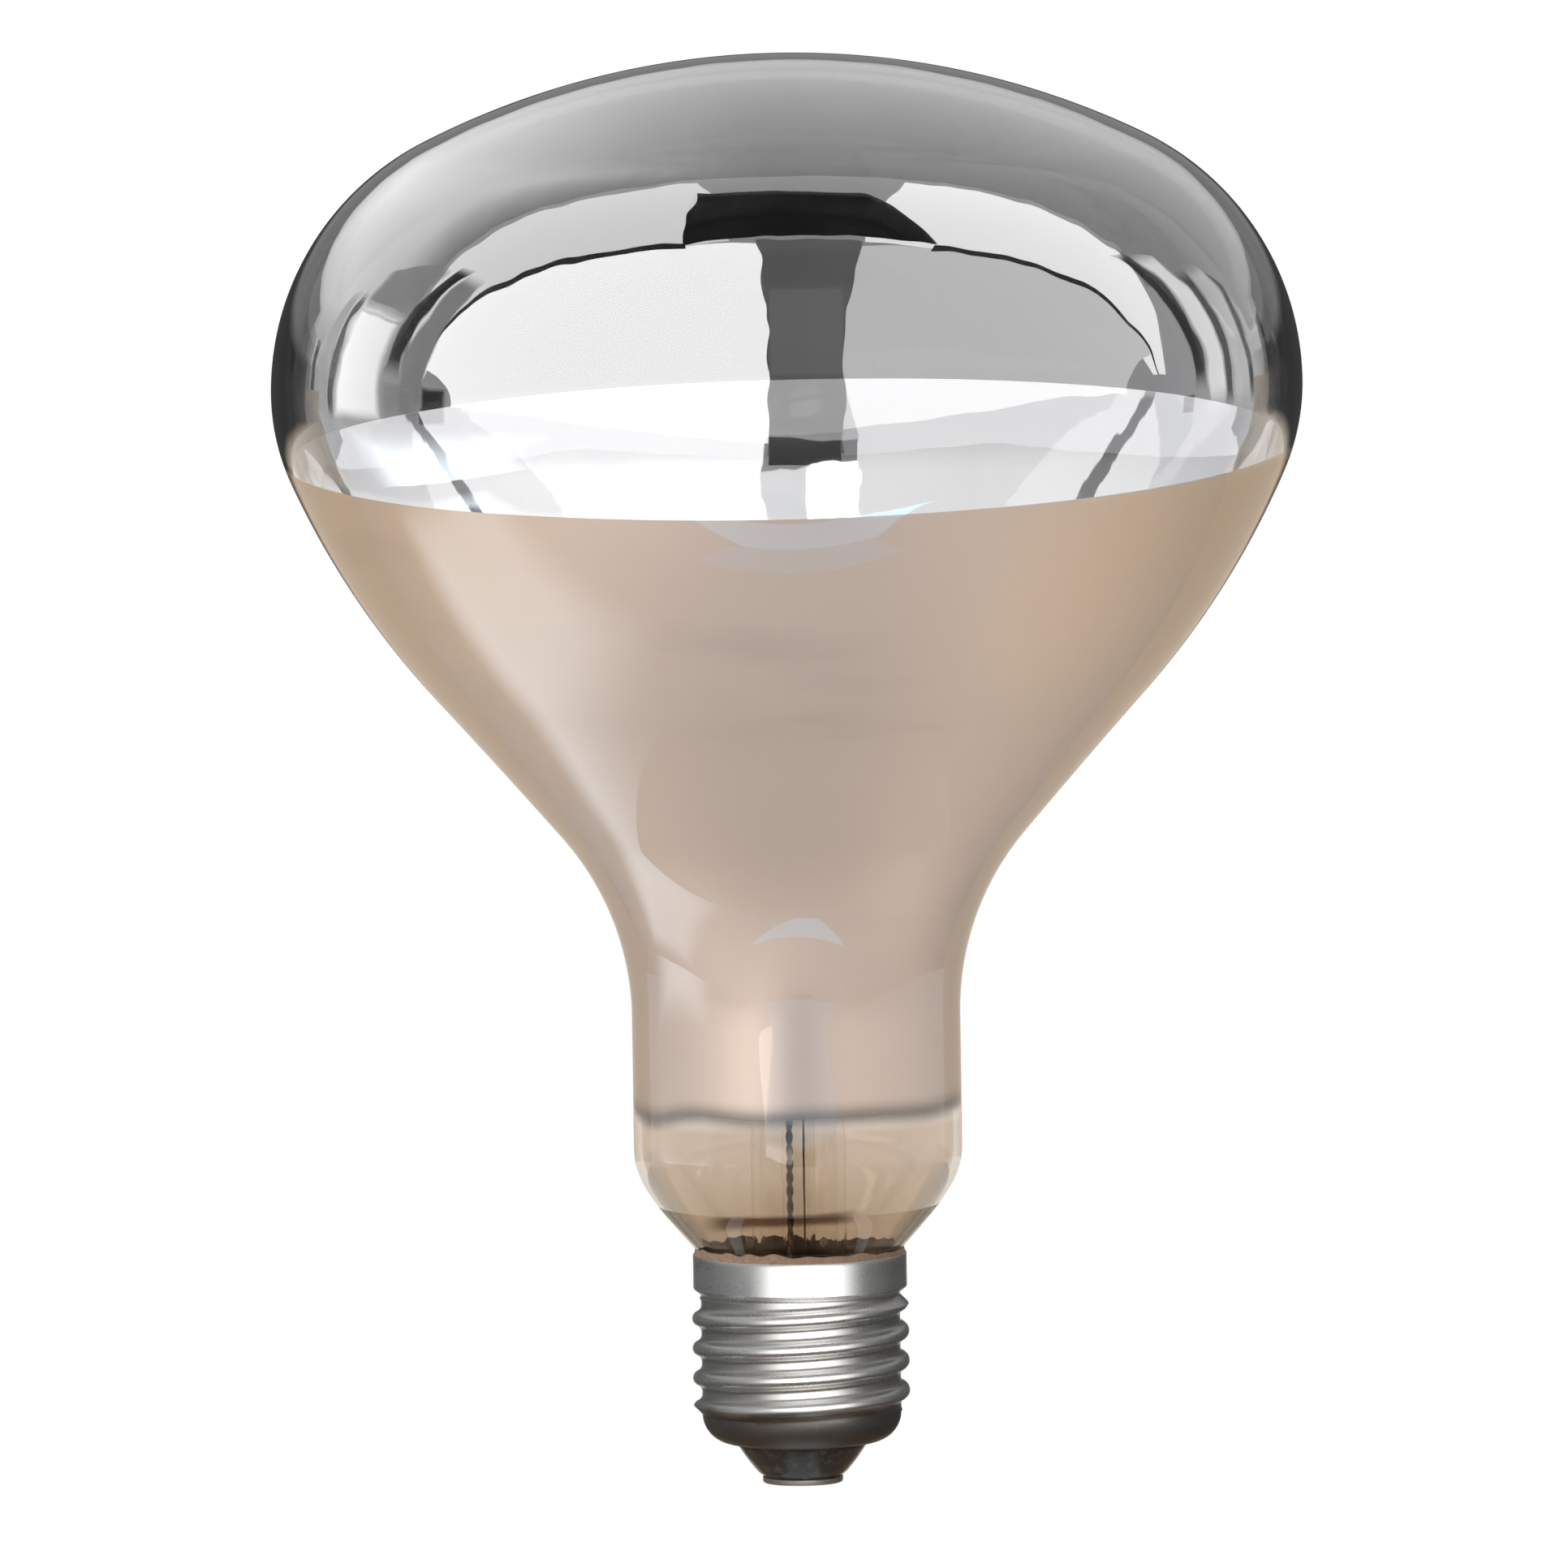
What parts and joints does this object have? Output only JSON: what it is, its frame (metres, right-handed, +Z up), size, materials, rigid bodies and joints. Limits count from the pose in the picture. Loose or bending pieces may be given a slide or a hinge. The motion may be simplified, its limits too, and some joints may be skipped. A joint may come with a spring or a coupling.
{
  "type": "infrared heat lamp bulb",
  "caption": "Reflector heat lamp bulb with a clear domed face, a mirrored bowl, a neck with a clear band at its foot and a screw cap with a black insulator.",
  "frame": {"origin": "middle of the flat on the contact's solder, the lamp's lowest point with the cap down", "axes": "+Z runs up the lamp's axis from the cap to the clear face; +X is to the right and +Y away in the picture's view"},
  "size_m": [0.125, 0.125, 0.1744],
  "materials": {
    "clear_glass": "clear blown glass",
    "mirror_film": "bright silver inside, champagne satin seen through the glass",
    "stem_glass": "clear drawn glass",
    "molybdenum_wire": "drawn wire",
    "tungsten_coil": "dull coiled wire",
    "nickel_wire": "drawn wire",
    "copper_wire": "dark oxidised copper",
    "cap_metal": "satin rolled sheet",
    "black_glass": "glossy black insulating glass",
    "contact_metal": "tinned plate",
    "solder": "bright soft solder",
    "cement": "rough brown cement"
  },
  "bodies": {
    "root": {"glass_envelope": "clear_glass", "mirror_coating": "mirror_film", "stem": "stem_glass", "exhaust_tube": "stem_glass", "mount_rod": "stem_glass", "filament_supports": "molybdenum_wire", "filament": "tungsten_coil", "inner_lead_front": "nickel_wire", "inner_lead_back": "nickel_wire", "outer_lead_contact": "copper_wire", "outer_lead_rim": "copper_wire", "cap_shell": "cap_metal", "cap_insulator": "black_glass", "centre_contact": "contact_metal", "contact_solder": "solder", "rim_solder": "solder", "basing_cement": "cement"}
  },
  "joints": []
}
